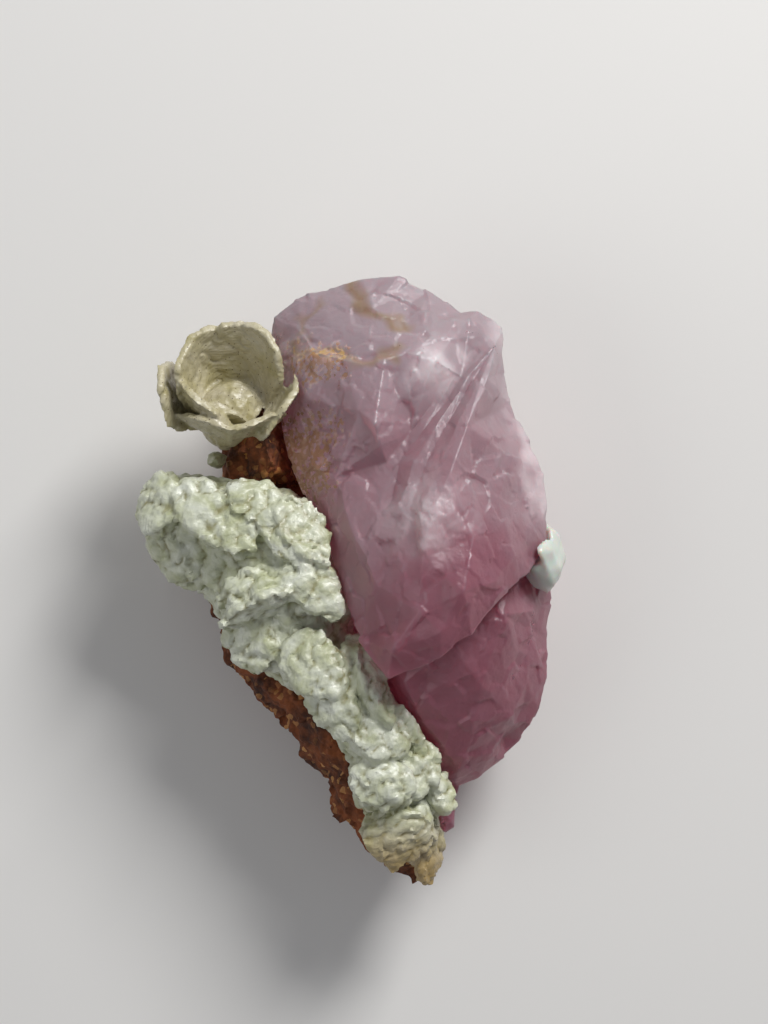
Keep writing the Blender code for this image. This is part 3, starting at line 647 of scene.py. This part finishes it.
@dataclass
class ApatiteCrystal:
    """The pink crystal, with its broken cap, striated front, bulge and the ledge under it."""

    front_edge: float = 0.26 * MM
    back_edge: float = 0.7 * MM
    facet_sizes: tuple[float, float] = (1.9, 0.7)
    facet_heights: tuple[float, float] = (0.22, 0.2)

    def zones(self, skin: Skin) -> dict[str, np.ndarray]:
        """Where the crystal is a deeper pink, where shade is painted on the body below the ledge, and where it is
        frosty, rusty, gold-crusted and etched.

        Args:
            skin: The divided crystal.

        Returns:
            A mask for each of them.
        """
        points, normals = skin.points(), skin.normals()
        pixels = PHOTO.pixels(points)
        warp = np.array([[noise.noise(Vector(p) / (1.6 * MM)), noise.noise(Vector(p) / (1.6 * MM) + Vector((9, 4, 2)))]
                         for p in points])
        pixels = pixels + warp * 16.0
        facing = smooth_step(normals[:, 2], -0.1, 0.35)
        bulge = patch_mask(pixels, (460, 600), (125, 120))
        # The body below the ledge is darkened as painted shade; the bulge is a real deeper pink.
        ledge_shade = smooth_step(pixels[:, 1], 560, 680)
        upper = smooth_step(pixels[:, 1], 330, 470)
        pink_and_ledge_shade = np.clip(0.25 * upper + 0.9 * bulge + 0.5 * ledge_shade, 0.0, 1.0)
        margin = smooth_step(pixels[:, 0] - 0.2 * (pixels[:, 1] - 330), 478, 520) * smooth_step(-pixels[:, 1], -540, -500)
        cloud = patch_mask(pixels, (434, 372), (34, 46))
        etched = patch_mask(pixels, (425, 520), (60, 62), 20)
        frost = np.clip(0.55 * margin + 0.7 * cloud + 0.55 * etched, 0.0, 1.0) * facing
        dust = np.maximum.reduce([
            0.8 * patch_mask(pixels, (318, 362), (52, 40)),
            0.95 * patch_mask(pixels, (305, 455), (62, 92)),
        ])
        crack = path_mask(pixels, ((300, 346), (320, 352), (345, 358), (365, 363), (385, 357), (398, 352)), 9)
        ridge = path_mask(pixels, ((355, 283), (358, 300), (372, 312), (392, 322), (405, 324)), 10)
        streak = path_mask(pixels, ((320, 297), (308, 318), (300, 332)), 6)
        gold = np.maximum.reduce([0.8 * ridge, 0.7 * crack, 0.55 * streak]) * facing
        return {
            "pink_and_ledge_shade": pink_and_ledge_shade,
            "frost": frost,
            "rust": dust * facing,
            "gold": gold,
            "etch": np.clip(0.15 + etched + 0.4 * cloud, 0.0, 1.0),
        }

    def build(self, material: bpy.types.Material) -> bpy.types.Object:
        """Builds the crystal.

        Args:
            material: The crystal's material.

        Returns:
            The piece.
        """
        skin = Skin(Node.CRYSTAL)
        skin.divide(self.front_edge, self.back_edge)
        masks = self.zones(skin)
        broad, small = self.facet_sizes
        plain = skin.sample(lambda place: facets(place, broad, 3.0) * self.facet_heights[0])
        fine = skin.sample(lambda place: facets(place, small, 8.0) * self.facet_heights[1])
        skin.swell(plain + fine * (0.35 + masks["etch"]))
        return settle(skin.piece("apatite", masks, 32.0), material, [Node.CRYSTAL])


@dataclass
class MicaMass:
    """The intergrown mica along the crystal's left side."""

    square: float = 0.22 * MM

    def build(self, material: bpy.types.Material) -> bpy.types.Object:
        """Builds the crumpled mass of books.

        Args:
            material: The mica's material.

        Returns:
            The piece.
        """
        skin = Skin(Node.BOOKS)
        skin.remesh(self.square)
        folds = skin.sample(lambda place: ridged(place, 1.5, 2.0))
        mosaic = skin.sample(lambda place: facets(place, 0.9, 5.0))
        skin.swell(0.35 * (folds - 0.6) + 0.3 * mosaic)
        points = skin.points()
        masks = {
            "tan": smooth_step(-points[:, 1], 0.017, 0.024),
            # Painted shade: the creases between the folds are darkened.
            "khaki_tone_and_crease_shade": np.clip(1.0 - 2.5 * folds, 0.0, 1.0),
            "speckled": np.zeros(len(points)),
            "leaf_height": points[:, 2] / MM,
        }
        return settle(skin.piece("mica_mass", masks, 40.0), material, [Node.BOOKS])


@dataclass
class MicaRosette:
    """The cup of mica leaves at the upper left."""

    square: float = 0.16 * MM

    def build(self, material: bpy.types.Material) -> bpy.types.Object:
        """Builds the rosette.

        Args:
            material: The mica's material.

        Returns:
            The piece.
        """
        skin = Skin(Node.ROSETTE)
        skin.remesh(self.square)
        folds = skin.sample(lambda place: ridged(place, 1.2, 6.0))
        skin.swell(0.15 * (folds - 0.6))
        count = len(skin.bm.verts)
        masks = {
            "tan": np.full(count, 0.5),
            "khaki_tone_and_crease_shade": np.zeros(count),
            "speckled": np.ones(count),
            "leaf_height": skin.points()[:, 2] / MM,
        }
        return settle(skin.piece("mica_rosette", masks, 40.0), material, [Node.ROSETTE])


@dataclass
class SmallMinerals:
    """The rusty rock, the quartz lump and the mica bud."""

    rock_square: float = 0.26 * MM
    quartz_square: float = 0.2 * MM
    bud_square: float = 0.12 * MM

    def rock(self, material: bpy.types.Material) -> bpy.types.Object:
        """Builds the rusty rock."""
        skin = Skin(Node.MATRIX)
        skin.remesh(self.rock_square)
        lumps = skin.sample(lambda place: facets(place, 1.3, 4.0))
        crumbs = skin.sample(lambda place: noise.noise(place * 1.7))
        skin.swell(0.4 * lumps + 0.3 * crumbs - 0.1)
        return settle(skin.piece("rusty_rock_strip", {}, 40.0), material, [Node.MATRIX])

    def quartz(self, material: bpy.types.Material) -> bpy.types.Object:
        """Builds the milky lump at the crystal's right edge."""
        skin = Skin(Node.QUARTZ)
        skin.remesh(self.quartz_square)
        for _ in range(6):
            bmesh.ops.smooth_vert(skin.bm, verts=skin.bm.verts, factor=0.5)
        skin.swell(skin.sample(lambda place: 0.2 * noise.noise(place * 0.7)) + 0.1)
        return settle(skin.piece("milky_lump", {}, 60.0), material, [Node.QUARTZ])

    def bud(self, material: bpy.types.Material) -> bpy.types.Object:
        """Builds the small mica bud under the rosette."""
        skin = Skin(Node.BUD)
        skin.remesh(self.bud_square)
        skin.swell(skin.sample(lambda place: 0.3 * facets(place, 0.7, 2.0)))
        count = len(skin.bm.verts)
        masks = {"khaki_tone_and_crease_shade": np.full(count, 0.5), "leaf_height": skin.points()[:, 2] / MM}
        return settle(skin.piece("mica_bud", masks, 40.0), material, [Node.BUD])


@dataclass
class Studio:
    """A plain pale floor and soft light, brightest from the picture's top right."""

    floor_half: float = 1.2
    floor_colour: str = "#E4E2DE"

    def build(self) -> None:
        """Makes the floor, the lights and the sky."""
        bm = bmesh.new()
        bmesh.ops.create_grid(bm, x_segments=1, y_segments=1, size=self.floor_half)
        mesh = bpy.data.meshes.new("floor")
        bm.to_mesh(mesh)
        bm.free()
        floor = bpy.data.objects.new("floor", mesh)
        bpy.context.scene.collection.objects.link(floor)
        paint = bpy.data.materials.new("floor_paper")
        paint.use_nodes = True
        shader = paint.node_tree.nodes["Principled BSDF"]
        shader.inputs["Base Color"].default_value = linear(self.floor_colour)
        shader.inputs["Roughness"].default_value = 0.9
        mesh.materials.append(paint)
        self.lamp("key", (0.16, 0.26, 0.24), 0.14, 1.4)
        self.lamp("fill", (-0.30, -0.10, 0.25), 0.3, 0.3)
        world = bpy.data.worlds.new("studio")
        world.use_nodes = True
        world.node_tree.nodes["Background"].inputs["Color"].default_value = (0.9, 0.92, 1.0, 1.0)
        world.node_tree.nodes["Background"].inputs["Strength"].default_value = 0.22
        bpy.context.scene.world = world

    def lamp(self, name: str, place: tuple[float, float, float], size: float, power: float) -> None:
        """Makes one square lamp that points at the specimen.

        Args:
            name: The lamp's name.
            place: Where it hangs, in metres.
            size: Its width in metres.
            power: Its power in watts.
        """
        light = bpy.data.lights.new(name, "AREA")
        light.size = size
        light.energy = power
        lamp = bpy.data.objects.new(name, light)
        lamp.location = place
        lamp.rotation_euler = (Vector(place) - Vector((0.0, 0.0, 0.01))).to_track_quat("Z", "Y").to_euler()
        bpy.context.scene.collection.objects.link(lamp)


def main() -> None:
    """Builds the specimen's pieces in order, then the studio."""
    logging.basicConfig(level=logging.INFO, format="%(name)s: %(message)s")
    apatite, mica, rock, quartz = (kind().make() for kind in (ApatiteFinish, MicaFinish, RockFinish, QuartzFinish))
    ApatiteCrystal().build(apatite)
    MicaMass().build(mica)
    MicaRosette().build(mica)
    small = SmallMinerals()
    small.rock(rock)
    small.quartz(quartz)
    small.bud(mica)
    Studio().build()
    PHOTO.camera()
    bpy.context.scene.view_settings.view_transform = "Standard"


if __name__ == "__main__":
    main()
